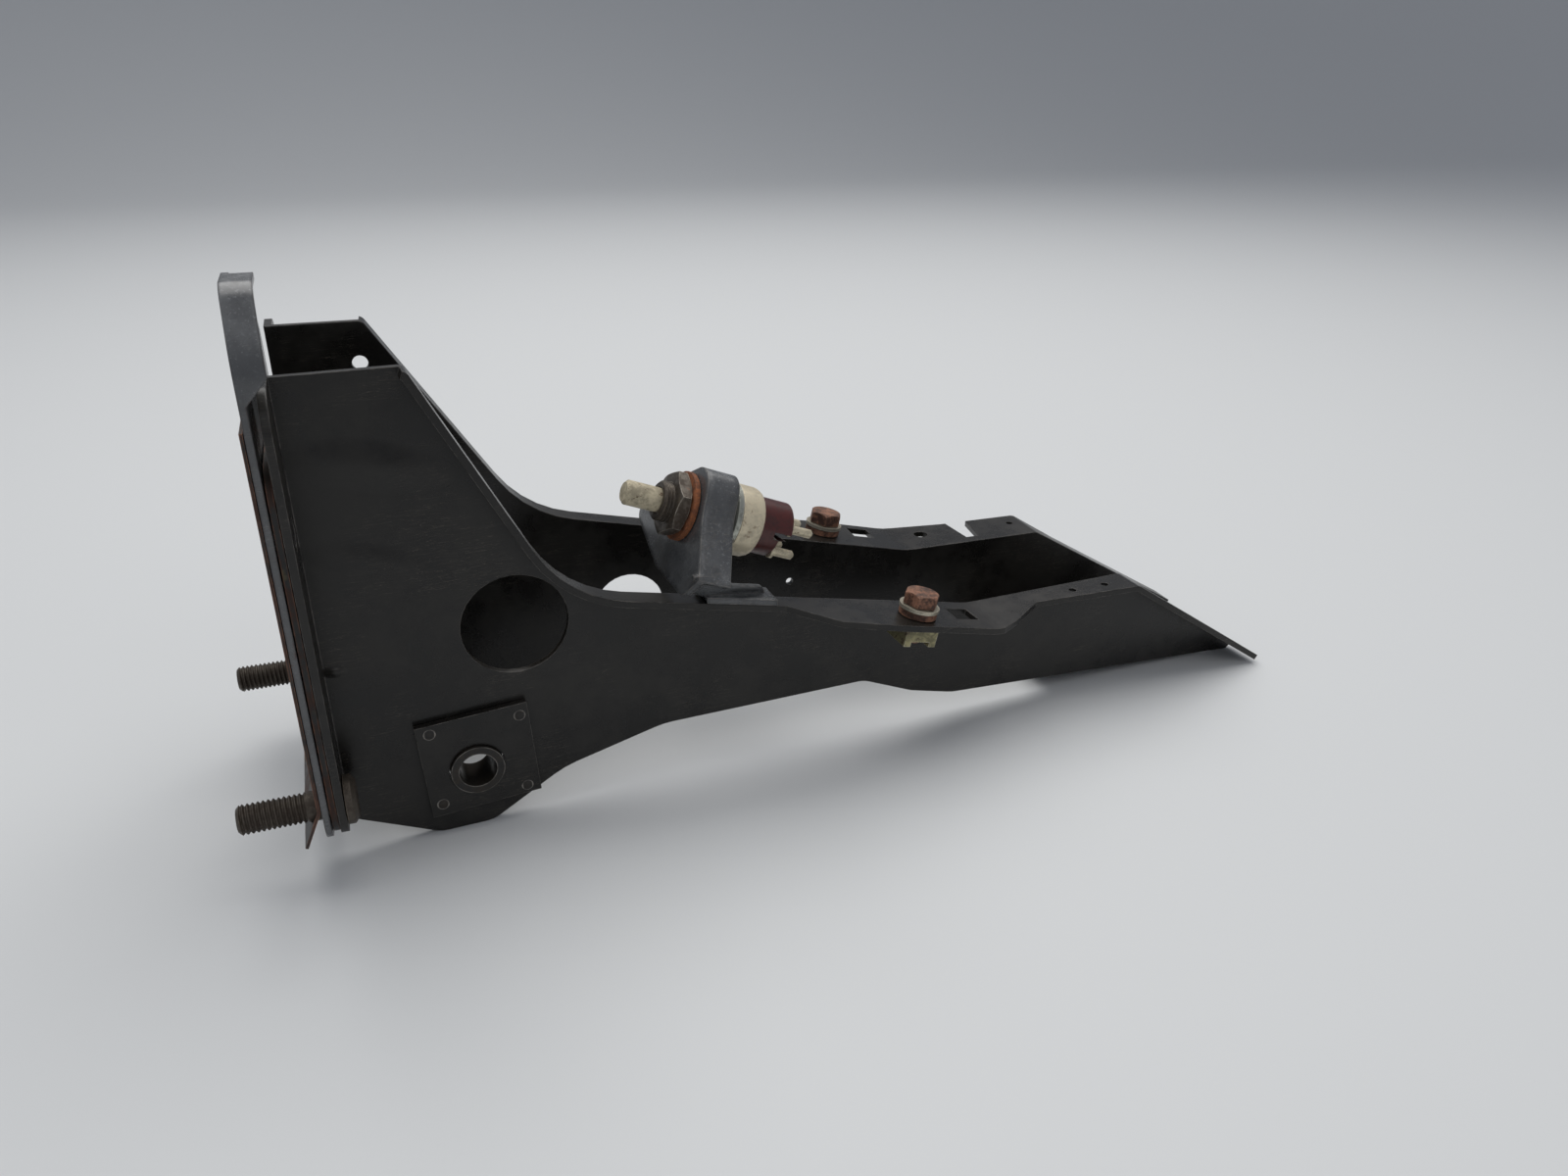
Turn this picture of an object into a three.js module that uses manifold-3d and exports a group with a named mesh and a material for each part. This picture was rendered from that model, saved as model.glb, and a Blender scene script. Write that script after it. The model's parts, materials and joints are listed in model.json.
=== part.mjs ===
// Pedal mounting bracket with a plunger switch, as a three.js scene of separate solids.
// Millimetres, +Z up, +X from the mounting face to the nose, +Y to the far side.
import * as THREE from "three";
import { mergeVertices } from "three/addons/utils/BufferGeometryUtils.js";
import Module from "manifold-3d";

const wasm = await Module();
wasm.setup();

const radians = THREE.MathUtils.degToRad;

// ---- driving dimensions -------------------------------------------------
const GAP = 0.3; // clearance between pieces that touch
const RUN = 0.35; // radial clearance of pieces that slide or turn

const LENGTH = 325; // mounting face to nose tip
const HEIGHT = 136; // ground line to the top edge of the side panels
const FACE_WIDTH = 60; // over the two webs at the mounting face
const TAPER = radians(1.8); // plan taper of each side panel

const BACKING = { thick: 0.8, lowZ: 26, highZ: 128, inset: 1, lip: 11, lipTurn: radians(24) };
const PLATE = { thick: 1.6, lowZ: 15, corner: 8, tunnelRadius: 17, tunnelDrop: 10 };
const DOUBLER = { thick: 1.5, lowZ: 15.5, highZ: 118, inset: 1.5, corner: 8 };
const EAR = { highZ: 159, topInset: 8, width: 27, corner: 7, rimDepth: 5.2, rimLowZ: 140 };

const PANEL = { gauge: 2.0, flange: 17, flangeLowZ: 16.5, lip: 5 };
const TIP = { high: 3, low: 0.3, setback: 3 };
const ARCH = { x0: 98, x1: 166, z: 20.4, radius: 26, dropX: 184, dropZ: 12.6 };
const SILL = { x: 200, z: 8.4 };
const BELLY = { x0: 30, x1: 45, rise: { x: 67, z: 12.8 }, radius: 9, heelZ: 12.4 };
const BEND = { throat: 36, arm: 24, nose: 5, top: 2.5 }; // radii along the panels' top line

const STUD = { radius: 4, z: 25.3, chamfer: 0.9, head: 6.6, headThick: 2.9, headTaper: 1.6 };
const UPPER_HOLE = { out: 8, z: 100, radius: 4.25 }; // out from a web's outer face
const PIVOT = { x: 42, z: 20.2, bore: 5.3, outer: 7.5, inner: 7, proud: 1.1 };
const BEARING = { x: 42.9, z: 22.7, width: 31, height: 30, thick: 2, turn: radians(3.4) };

const BOLT = { radius: 3, across: 10, head: 4, shank: 8.4, turn: radians(10) };
const SPRING_WASHER = { outer: 6.1, thick: 1.9, gap: 0.8 };
const FLAT_WASHER = { outer: 6.4, thick: 1.1 };
const CAGE_NUT = { length: 11.4, width: 11, thick: 4.6, leg: 2.4, legDrop: 1.6 };

const SIDES = {
  near: {
    sign: -1,
    topEnd: 37, throat: { x: 71, z: 69.4 }, arm: { x: 204, z: 40.6 }, nose: 266.5,
    edge: [[136, 5], [150, 15.5], [170, 17.5], [206, 18.5], [213, 15], [226, 6.5], [262, 9]],
    noseLip: 10.5, tipLip: 13,
    stud: { out: 11, length: 19.2 },
    window: { x: 57, z: 62.2, radius: 14.8 },
    webHoles: [],
    bolt: { x: 179, offset: 9 },
    slot: { x: 196.5, offset: 7.4, size: 8 },
    flangeHoles: [{ x: 243, offset: 3.2, radius: 1.3 }, { x: 256, offset: 3.6, radius: 1.3 }],
    notch: null,
  },
  far: {
    sign: 1,
    topEnd: 30.3, throat: { x: 70.5, z: 72.6 }, arm: { x: 204, z: 42 }, nose: 258,
    edge: [[136, 5], [150, 19], [176, 20], [206, 19], [227, 16.5], [259, 16]],
    noseLip: 9, tipLip: 7.5,
    stud: { out: 7, length: 22 },
    window: { x: 101.5, z: 35.6, radius: 11.6 },
    webHoles: [{ x: 158.8, z: 36.2, radius: 1.3 }, { x: 28.2, z: 124.1, radius: 2.2 }],
    bolt: { x: 175, offset: 9 },
    slot: { x: 191.5, offset: 12, size: 8 },
    flangeHoles: [{ x: 215.3, offset: 9.8, radius: 2.6 }, { x: 252.8, offset: 9.3, radius: 1.3 }],
    notch: { x: 233.5, width: 6, splay: 3, depth: 2 },
  },
};

const TIE = { x0: 238, x1: 312, thick: 1.6, wall: 9, lift: 1.2 };

// the switch stands on its own axis: local x runs from the plunger to the terminals
const SWITCH = { x: 109.6, inset: 12.9, z: 85.7, pitch: radians(22), yaw: radians(2) };
const HOLDER = {
  gauge: 2.0, rim: 10,
  rimStart: [11, 5.4],
  nearEdge: [[-8, 17, 7], [-13, 2, 14], [-25, -13, 2]], // y, z and corner radius about the switch's axis
  lowerEdge: [[-18, -21, 5], [5, -21.5, 12], [18, -18, 10], [31.5, -14.5, 4], [31.5, -7, 3]],
};
const WALL = { lean: 0.95, leanX: 108, inset: 0.6, sink: 0.7, high: 12.6 };
const FOOT = { x0: 111, x1: 133, thick: 1.8 };
const PLUNGER = { radius: 3.6, chamfer: 0.8, tip: -19.4, collar: 5, collarThick: 1.4, stem: 1.7, stemLength: 2.4 };
const NECK = { radius: 5.9, chamfer: 0.7, start: -9, end: 11.4 };
const NUT = { wall: 2.6, rearWall: 1.1, thick: 3.9, clearance: 0.07 };
const NECK_PLAY = 0.5; // radial room for the neck in its washer and its holder
const RUSTY_WASHER = { outer: 10.2, thick: 1.5 };
const CRIMP = { radius: 10.9, thick: 2.2, lip: 0.7 };
const CAN = { radius: 10.6, length: 7.9, wall: 1, shoulder: 2.6 };
const BASE = { radius: 8.6, flange: 9.3, flangeThick: 3, hollow: 6.4, wall: 1.6, low: 28.4, high: 32 };
const SLOT = { half: 1.2, depth: 2 }; // the groove between the base's two lugs
const PIN = { radius: 1.4, chamfer: 0.8, collar: 2.3, collarThick: 1, shank: 1, length: 8.5 };
const PIN_PLACES = { y: 4.3, upper: 2.2, lower: -5.6 };
const BRIDGE = { radius: 5.6, thick: 0.9 };
const SPRING = { wire: 0.35, small: 2.6, large: 5.4, turns: 3.5 };

const THROUGH_STACK = [-10, 20]; // x reach of a drill through the mounting stack
const ROUND = 32; // facets of a large hole or turned piece
const SMALL_ROUND = 20;

// ---- geometry helpers ---------------------------------------------------
function signedVolume(positions, index) {
  const [a, b, c] = [new THREE.Vector3(), new THREE.Vector3(), new THREE.Vector3()];
  let total = 0;
  for (let i = 0; i < index.length; i += 3) {
    a.fromArray(positions, 3 * index[i]);
    b.fromArray(positions, 3 * index[i + 1]);
    c.fromArray(positions, 3 * index[i + 2]);
    total += a.dot(b.cross(c)) / 6;
  }
  return total;
}

// a closed geometry as a solid, with its faces turned outwards
function solid(geometry) {
  const bare = geometry.clone();
  bare.deleteAttribute("normal");
  bare.deleteAttribute("uv");
  const merged = mergeVertices(bare, 1e-4);
  const vertProperties = new Float32Array(merged.attributes.position.array);
  const index = merged.index.array;
  const flip = signedVolume(vertProperties, index) < 0;
  const kept = [];
  for (let i = 0; i < index.length; i += 3) {
    const [a, b, c] = [index[i], index[i + 1], index[i + 2]];
    if (a === b || b === c || c === a) continue;
    kept.push(a, flip ? c : b, flip ? b : c);
  }
  const triVerts = new Uint32Array(kept);
  return new wasm.Manifold(new wasm.Mesh({ numProp: 3, vertProperties, triVerts }));
}

function geometryOf(manifold) {
  const mesh = manifold.getMesh();
  const geometry = new THREE.BufferGeometry();
  const stride = mesh.numProp;
  const positions = new Float32Array((mesh.vertProperties.length / stride) * 3);
  for (let i = 0, j = 0; i < mesh.vertProperties.length; i += stride, j += 3) {
    positions.set(mesh.vertProperties.subarray(i, i + 3), j);
  }
  geometry.setAttribute("position", new THREE.BufferAttribute(positions, 3));
  geometry.setIndex(new THREE.BufferAttribute(new Uint32Array(mesh.triVerts), 1));
  return geometry;
}

const cut = (body, ...tools) => tools.reduce((left, tool) => left.subtract(tool), body);
const join = (first, ...others) => others.reduce((left, other) => left.add(other), first);

const directionTo = (from, [x, y]) => new THREE.Vector2(x, y).sub(from).normalize();

// a polyline whose corners [x, y, radius] are rounded by arcs
function roundedPath(corners, closed = false) {
  const path = [];
  corners.forEach(([x, y, radius = 0], i) => {
    const corner = new THREE.Vector2(x, y);
    const isEnd = !closed && (i === 0 || i === corners.length - 1);
    if (isEnd || radius === 0) return path.push(corner);
    const before = directionTo(corner, corners.at(i - 1));
    const after = directionTo(corner, corners[(i + 1) % corners.length]);
    const half = Math.acos(THREE.MathUtils.clamp(before.dot(after), -1, 1)) / 2;
    const middle = before.clone().add(after).normalize();
    const centre = middle.multiplyScalar(radius / Math.sin(half)).add(corner);
    const from = before.clone().multiplyScalar(radius / Math.tan(half)).add(corner).sub(centre).angle();
    const turn = Math.PI - 2 * half;
    const way = before.cross(after) < 0 ? 1 : -1;
    const steps = Math.max(2, Math.ceil(turn / radians(9)));
    for (let k = 0; k <= steps; k++) {
      const angle = from + (way * turn * k) / steps;
      path.push(new THREE.Vector2(Math.cos(angle), Math.sin(angle)).multiplyScalar(radius).add(centre));
    }
  });
  return path;
}

// the line that runs a distance to the right of a polyline
function offsetPath(points, distance) {
  return points.map((point, i) => {
    const before = points[Math.max(i - 1, 0)];
    const after = points[Math.min(i + 1, points.length - 1)];
    const first = point.clone().sub(before).normalize();
    const second = after.clone().sub(point).normalize();
    const along = first.clone().add(second).normalize();
    const cosine = Math.max(along.dot(i ? first : second), 0.5);
    return point.clone().add(new THREE.Vector2(along.y, -along.x).multiplyScalar(distance / cosine));
  });
}

// points are [x, y] pairs or vectors
function extruded(points, depth) {
  const outline = points.map((point) => (Array.isArray(point) ? new THREE.Vector2(...point) : point));
  return new THREE.ExtrudeGeometry(new THREE.Shape(outline), { depth, bevelEnabled: false });
}

// an (x, z) outline between two y values
function sideOutline(points, y0, y1) {
  const geometry = extruded(points, y1 - y0);
  return geometry.rotateX(Math.PI / 2).translate(0, y1, 0);
}

// an (x, y) outline between two z values
const planOutline = (points, z0, z1) => extruded(points, z1 - z0).translate(0, 0, z0);

// a (y, z) outline between two x values
function faceOutline(points, x0, x1) {
  const turn = new THREE.Matrix4().makeBasis(
    new THREE.Vector3(0, 1, 0), new THREE.Vector3(0, 0, 1), new THREE.Vector3(1, 0, 0));
  return extruded(points, x1 - x0).applyMatrix4(turn).translate(x0, 0, 0);
}

function box(x0, x1, y0, y1, z0, z1) {
  const geometry = new THREE.BoxGeometry(x1 - x0, y1 - y0, z1 - z0);
  return geometry.translate((x0 + x1) / 2, (y0 + y1) / 2, (z0 + z1) / 2);
}

// a piece turned about the x axis, from [x, radius] points that end on the axis or close
function turned(profile, facets = ROUND) {
  const points = profile.map(([x, radius]) => new THREE.Vector2(radius, x));
  return new THREE.LatheGeometry(points, facets).rotateZ(-Math.PI / 2);
}

function ring(x0, x1, outer, inner, facets = ROUND) {
  return turned([[x0, inner], [x0, outer], [x1, outer], [x1, inner], [x0, inner]], facets);
}

function rod(x0, x1, radius, facets = ROUND) {
  return turned([[x0, 0], [x0, radius], [x1, radius], [x1, 0]], facets);
}

// a hexagon along x, across its flats
function hexagon(x0, x1, across) {
  return new THREE.CylinderGeometry(across / Math.sqrt(3), across / Math.sqrt(3), x1 - x0, 6)
    .rotateZ(-Math.PI / 2).translate((x0 + x1) / 2, 0, 0);
}

// a hexagon whose corners are turned off at its far end, or at both
function chamferedHex(x0, x1, across, both) {
  const [flat, corner] = [across * 0.5, across / Math.sqrt(3)];
  const start = both ? [[x0, 0], [x0, flat], [x0 + 0.7, corner]] : [[x0, 0], [x0, corner]];
  const cone = solid(turned([...start, [x1 - 0.7, corner], [x1, flat], [x1, 0]], 36));
  return geometryOf(solid(hexagon(x0, x1, across)).intersect(cone));
}

const upright = (geometry) => geometry.rotateY(-Math.PI / 2); // local x becomes z
const sideways = (geometry) => geometry.rotateZ(Math.PI / 2); // local x becomes y

function drillY(x, z, radius, y0, y1, facets = ROUND) {
  return solid(sideways(rod(y0, y1, radius, facets)).translate(x, 0, z));
}

// ---- materials ----------------------------------------------------------
function material(color, roughness, metalness) {
  return new THREE.MeshStandardMaterial({ color, roughness, metalness });
}


const FINISH = {
  paint: material(0x1b1a18, 0.5, 0.1),
  slate: material(0x3e454b, 0.42, 0.2),
  steel: material(0x5a5248, 0.5, 0.8),
  rust: material(0x6e4636, 0.85, 0.2),
  zinc: material(0xa89e86, 0.45, 0.7),
  yellow: material(0x8d8350, 0.5, 0.6),
  cream: material(0xc9c3a8, 0.45, 0.4),
  bakelite: material(0x6b3330, 0.5, 0.0),
  brass: material(0xb9a877, 0.4, 0.8),
  spring: material(0x8f9499, 0.35, 0.9),
};

const model = new THREE.Group();

function add(name, finish, shape, parent = model) {
  const geometry = shape.isBufferGeometry ? geometryOf(solid(shape)) : geometryOf(shape);
  const mesh = new THREE.Mesh(geometry, FINISH[finish]);
  mesh.name = name;
  parent.add(mesh);
  return mesh;
}

// ---- stations worked out from the driving dimensions --------------------
const plateHalf = FACE_WIDTH / 2 + PANEL.flange; // out to the edges of the mounting flanges
const plateX = BACKING.thick + GAP; // back of the mounting plate
const doublerX = plateX + PLATE.thick + GAP;
const flangeX = doublerX + DOUBLER.thick + GAP; // back of the panels' mounting flanges
const flangeFrontX = flangeX + PANEL.gauge;
const halfWidthAt = (x) => FACE_WIDTH / 2 - x * Math.tan(TAPER);

const bottomPath = roundedPath([
  [LENGTH - TIP.setback, TIP.low],
  [SILL.x, SILL.z, 20],
  [ARCH.dropX, ARCH.dropZ, 18],
  [ARCH.x1, ARCH.z, 10],
  [ARCH.x0, ARCH.z, ARCH.radius],
  [BELLY.rise.x, BELLY.rise.z, ARCH.radius],
  [BELLY.x1, 0, BELLY.radius],
  [BELLY.x0, 0, BELLY.radius],
  [flangeX, BELLY.heelZ],
]);

for (const side of Object.values(SIDES)) {
  side.topPath = roundedPath([
    [flangeX, HEIGHT],
    [side.topEnd, HEIGHT, BEND.top],
    [side.throat.x, side.throat.z, BEND.throat],
    [side.arm.x, side.arm.z, BEND.arm],
    [side.nose, side.arm.z, BEND.nose],
    [LENGTH, TIP.high],
  ]);
}

// height and slope of one panel's top line at x
function topLineAt(side, x) {
  const i = Math.max(1, side.topPath.findIndex((point) => point.x >= x));
  const [a, b] = [side.topPath[i - 1], side.topPath[i]];
  const slope = (b.y - a.y) / (b.x - a.x);
  return { z: a.y + slope * (x - a.x), slope };
}

// ---- side panels --------------------------------------------------------
// local frame: y = 0 on the web's outer face, +y outwards
function onSide(geometry, side) {
  geometry.rotateZ(-TAPER).translate(0, FACE_WIDTH / 2, 0);
  if (side.sign < 0) geometry.scale(1, -1, 1);
  return geometry;
}

function flangeBand(side) {
  const line = side.topPath.filter((point) => point.x >= side.topEnd - 1);
  const under = offsetPath(line, PANEL.gauge).reverse();
  const widest = Math.max(...side.edge.map(([, width]) => width)) + 1;
  const band = solid(sideOutline([...line, ...under], -PANEL.gauge, widest));
  const plan = [
    [0, -PANEL.gauge - 1], [0, PANEL.lip], ...side.edge, [side.nose + 14, side.noseLip],
    [LENGTH + 5, side.tipLip], [LENGTH + 5, -PANEL.gauge - 1],
  ];
  return band.intersect(solid(planOutline(plan, -5, HEIGHT + 5)));
}

function notchTool(side) {
  const { x, width, splay, depth } = side.notch;
  const { z } = topLineAt(side, x);
  const [from, to] = [x - width / 2, x + width / 2];
  const plan = [[from - splay, 30], [from, depth], [to - 1, depth], [to + splay, 30]];
  return solid(planOutline(plan, z - 6, z + 6));
}

function uprightHole(side, { x, offset, radius }) {
  const { z } = topLineAt(side, x);
  return solid(upright(rod(-8, 8, radius, SMALL_ROUND)).translate(x, offset, z));
}

function slotTool(side) {
  const { x, offset, size } = side.slot;
  const { z } = topLineAt(side, x);
  return solid(box(x - size / 2, x + size / 2, offset - size / 2, offset + size / 2, z - 6, z + 6));
}

function sidePanel(side) {
  const web = solid(sideOutline([...side.topPath, ...bottomPath], -PANEL.gauge, 0));
  const shaped = cut(
    join(web, flangeBand(side)),
    drillY(side.window.x, side.window.z, side.window.radius, -10, 3),
    drillY(PIVOT.x, PIVOT.z, PIVOT.outer + GAP, -10, 10),
    ...side.webHoles.map(({ x, z, radius }) => drillY(x, z, radius, -10, 3, SMALL_ROUND)),
    ...side.flangeHoles.map((hole) => uprightHole(side, hole)),
    uprightHole(side, { ...side.bolt, radius: BOLT.radius + 0.6 }),
    slotTool(side),
    ...(side.notch ? [notchTool(side)] : []),
  );
  const placed = solid(onSide(geometryOf(shaped), side));
  const behind = solid(box(-50, flangeX, -80, 80, -50, HEIGHT + 50));
  return cut(join(cut(placed, behind), mountingFlange(side)), ...fixings());
}

function mountingFlange(side) {
  const [y0, y1] = [halfWidthAt(0) - PANEL.gauge, FACE_WIDTH / 2 + PANEL.flange];
  const low = PANEL.flangeLowZ;
  const outline = roundedPath([[y0, low], [y1, low, 6], [y1, HEIGHT, 10], [y0, HEIGHT]]);
  const flange = faceOutline(outline, flangeX, flangeFrontX);
  return solid(side.sign < 0 ? flange.scale(1, -1, 1) : flange);
}

function bearingPlate(side) {
  const { x, z, width, height, thick, turn } = BEARING;
  const plate = box(-width / 2, width / 2, GAP, GAP + thick, -height / 2, height / 2)
    .rotateY(-turn).translate(x, 0, z);
  const body = cut(solid(plate), drillY(PIVOT.x, PIVOT.z, PIVOT.outer + GAP, -10, 10));
  return onSide(geometryOf(body), side);
}

function pivotBush(side) {
  const [y0, y1] = [-PANEL.gauge - PIVOT.inner, GAP + BEARING.thick + PIVOT.proud];
  const bush = sideways(ring(y0, y1, PIVOT.outer, PIVOT.bore)).translate(PIVOT.x, 0, PIVOT.z);
  return onSide(bush, side);
}

// ---- mounting stack -----------------------------------------------------
function plateOutline(inset = 0) {
  const { corner } = PLATE;
  const halfWidth = plateHalf;
  const near = -halfWidth + inset;
  const earEnd = -halfWidth + EAR.width - inset;
  return roundedPath([
    [near, PLATE.lowZ + inset, corner], [halfWidth - inset, PLATE.lowZ + inset, corner],
    [halfWidth - inset, HEIGHT - inset, corner], [earEnd + 12, HEIGHT - inset, corner],
    [earEnd, EAR.highZ - inset, EAR.corner - inset],
    [near + EAR.topInset, EAR.highZ - inset, EAR.corner - inset], [near, HEIGHT + 8, 20],
  ], true);
}

const outOfWeb = ({ out }) => FACE_WIDTH / 2 + out;

// clearance holes of the two studs and of the two upper bolts, through the whole stack
function fixings() {
  return Object.values(SIDES).flatMap(({ sign, stud }) => [
    solid(rod(...THROUGH_STACK, STUD.radius + GAP, SMALL_ROUND).translate(0, sign * outOfWeb(stud), STUD.z)),
    solid(rod(...THROUGH_STACK, UPPER_HOLE.radius, SMALL_ROUND)
      .translate(0, sign * outOfWeb(UPPER_HOLE), UPPER_HOLE.z)),
  ]);
}

const tunnelZ = (STUD.z + UPPER_HOLE.z) / 2 - PLATE.tunnelDrop;
const tunnel = () => solid(rod(...THROUGH_STACK, PLATE.tunnelRadius).translate(0, 0, tunnelZ));

function mountingPlate() {
  const x1 = plateX + PLATE.thick;
  const rimX = x1 + EAR.rimDepth;
  const plate = solid(faceOutline(plateOutline(), plateX, x1));
  const around = cut(
    solid(faceOutline(plateOutline(), plateX, rimX)),
    solid(faceOutline(plateOutline(PLATE.thick), plateX - 1, rimX + 1)),
  );
  const [near, z] = [-plateHalf - 1, EAR.rimLowZ];
  const reach = near + EAR.width - 4;
  const kept = [[near, z - 8], [near, EAR.highZ + 1], [reach, EAR.highZ + 1], [reach, z + 12]];
  const slope = [[x1, z - 6], [rimX + 1, z + 1], [rimX + 1, z - 12], [x1, z - 12]];
  const rim = cut(
    around.intersect(solid(faceOutline(kept, plateX - 1, rimX + 1))),
    solid(sideOutline(slope, -80, 80)),
  );
  return cut(join(plate, rim), tunnel(), ...fixings());
}

function doublerPlate() {
  const { thick, lowZ, highZ, inset, corner } = DOUBLER;
  const halfWidth = plateHalf - inset;
  const outline = roundedPath([
    [-halfWidth, lowZ, corner], [halfWidth, lowZ, corner],
    [halfWidth, highZ, corner], [-halfWidth, highZ, corner],
  ], true);
  return cut(solid(faceOutline(outline, doublerX, doublerX + thick)), tunnel(), ...fixings());
}

function backingPlate() {
  const { thick, lowZ, highZ, inset, lip, lipTurn } = BACKING;
  const halfWidth = plateHalf - inset;
  const foot = new THREE.Vector2(-Math.sin(lipTurn) * lip, lowZ - Math.cos(lipTurn) * lip);
  const line = [new THREE.Vector2(0, highZ), new THREE.Vector2(0, lowZ), foot];
  const front = offsetPath(line, -thick).reverse();
  return cut(solid(sideOutline([...line, ...front], -halfWidth, halfWidth)), tunnel(), ...fixings());
}

function stud({ sign, stud: { out, length } }) {
  const { radius, chamfer, head, headThick, headTaper, z } = STUD;
  const seat = flangeFrontX + GAP;
  return turned([
    [-length, 0], [-length, radius - chamfer], [-length + chamfer, radius], [seat, radius], [seat, head],
    [seat + headThick * 0.6, head], [seat + headThick, head - headTaper], [seat + headThick, 0],
  ], 24).translate(0, sign * outOfWeb({ out }), z);
}

// ---- flange bolts ---------------------------------------------------------
// local frame: z = 0 on the flange, z along the bolt
function boltSet(name, side) {
  const { x, offset } = side.bolt;
  const { z, slope } = topLineAt(side, x);
  const place = new THREE.Matrix4().makeTranslation(x, offset, z)
    .multiply(new THREE.Matrix4().makeRotationY(Math.atan(-slope)));
  const put = (node, finish, body) =>
    add(`${name}_${node}`, finish, onSide(geometryOf(body).applyMatrix4(place), side));
  const spring = GAP;
  const flat = spring + SPRING_WASHER.thick + GAP;
  const seat = flat + FLAT_WASHER.thick + GAP;
  put("bolt", "rust", flangeBolt(seat));
  put("flat_washer", "zinc", washer(flat, FLAT_WASHER));
  put("spring_washer", "rust", cut(washer(spring, SPRING_WASHER), splitOf(spring)));
  put("cage_nut", "yellow", cageNut());
}

function flangeBolt(seat) {
  const shank = solid(upright(rod(-BOLT.shank, seat + 1, BOLT.radius, 24)));
  const head = solid(upright(chamferedHex(seat, seat + BOLT.head, BOLT.across, false)).rotateZ(BOLT.turn));
  return join(shank, head);
}

const washer = (z, { outer, thick }) => solid(upright(ring(z, z + thick, outer, BOLT.radius + GAP, 24)));

function splitOf(z) {
  const { outer, thick, gap } = SPRING_WASHER;
  return solid(box(0, outer + 1, -gap / 2, gap / 2, z - 1, z + thick + 1));
}

// a square nut in a folded cage, under the flange
function cageNut() {
  const { length, width, thick, leg, legDrop } = CAGE_NUT;
  const top = -PANEL.gauge - GAP;
  const base = top - thick;
  const legs = [-1, 1].map((end) => {
    const out = (end * length) / 2;
    const [x0, x1] = [Math.min(out, out - end * leg), Math.max(out, out - end * leg)];
    return solid(box(x0, x1, -width / 2, width / 2, base - legDrop, base + 1));
  });
  const body = solid(box(-length / 2, length / 2, -width / 2, width / 2, base, top));
  return cut(join(body, ...legs), solid(upright(rod(-30, 10, BOLT.radius + GAP, 24))));
}

// ---- nose tie -----------------------------------------------------------
// a shallow tray between the two webs, just above their lower edges
function noseTie() {
  const { x0, x1, thick, wall, lift } = TIE;
  const fall = (TIP.low - SILL.z) / (LENGTH - TIP.setback - SILL.x);
  const floorAt = (x) => SILL.z + fall * (x - SILL.x) + lift;
  const inner = (x) => halfWidthAt(x) - PANEL.gauge / Math.cos(TAPER) - GAP;
  const plan = (inset) => planOutline([
    [x0, inset - inner(x0)], [x1, inset - inner(x1)], [x1, inner(x1) - inset], [x0, inner(x0) - inset],
  ], -20, 60);
  const slab = (low, high) => sideOutline([
    [x0, floorAt(x0) + low], [x1, floorAt(x1) + low], [x1, floorAt(x1) + high], [x0, floorAt(x0) + high],
  ], -60, 60);
  const block = solid(plan(0)).intersect(solid(slab(0, wall)));
  const hollow = solid(plan(thick)).intersect(solid(slab(thick, wall + 5)));
  return cut(block, hollow, underNose());
}

// everything above the underside of the far nose flange, which is the lower of the two
function underNose() {
  const line = SIDES.far.topPath.filter((point) => point.x >= SIDES.far.arm.x);
  const under = offsetPath(line, PANEL.gauge + GAP);
  return solid(sideOutline([...under, [LENGTH + 20, 90], [SIDES.far.arm.x, 90]], -60, 60));
}

// ---- switch holder ------------------------------------------------------
const switchTurn = new THREE.Euler(0, SWITCH.pitch, SWITCH.yaw, "ZYX");
const switchFrame = new THREE.Matrix4().makeRotationFromEuler(switchTurn)
  .setPosition(SWITCH.x, SWITCH.inset - FACE_WIDTH / 2, SWITCH.z);

// a face across the switch's axis, rimmed on the near side, on a leaning wall and a foot
function switchHolder() {
  const { gauge, rim, rimStart, nearEdge, lowerEdge } = HOLDER;
  const face = roundedPath([...nearEdge, ...lowerEdge], true);
  const [crest, waist, [endY, endZ]] = nearEdge;
  const rimLine = roundedPath([rimStart, crest, waist, [endY, endZ]]);
  const rimInner = offsetPath(rimLine, -gauge).reverse();
  const upper = join(
    solid(faceOutline(face, 0, gauge)),
    solid(faceOutline([...rimLine, ...rimInner], 0, rim)),
  );
  const drilled = cut(upper, solid(rod(-5, 10, NECK.radius + NECK_PLAY)));
  return join(solid(geometryOf(drilled).applyMatrix4(switchFrame)), holderWall(), holderFoot());
}

// leans outwards from the foot on the near flange up to the rim
function holderWall() {
  const { near } = SIDES;
  const at = (x) => topLineAt(near, x).z;
  const { lean, leanX, inset, sink: seat, high: top } = WALL;
  const [heel, toe] = [FOOT.x0 + 1, FOOT.x1 - 1];
  const outline = roundedPath([
    [104, at(104) + top], [105, at(105) + 4.5, 4], [heel, at(heel) + seat], [toe, at(toe) + seat],
    [129, at(129) + 5.5, 4], [118, at(118) + 7, 5], [113, at(113) + top],
  ], true);
  const drop = -lean * at(leanX);
  const shear = new THREE.Matrix4().set(1, 0, 0, 0, 0, 1, lean, drop, 0, 0, 1, 0, 0, 0, 0, 1);
  return solid(onSide(sideOutline(outline, inset, inset + HOLDER.gauge).applyMatrix4(shear), near));
}

function holderFoot() {
  const line = SIDES.near.topPath.filter(({ x }) => x > SIDES.near.throat.x && x < SIDES.near.nose - 20);
  const band = [...offsetPath(line, -GAP - FOOT.thick), ...offsetPath(line, -GAP).reverse()];
  const patch = solid(sideOutline(band, -PANEL.gauge - 2, PANEL.lip + 0.6));
  return solid(onSide(geometryOf(patch.intersect(solid(box(FOOT.x0, FOOT.x1, -9, 9, 0, 90)))), SIDES.near));
}

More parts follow.
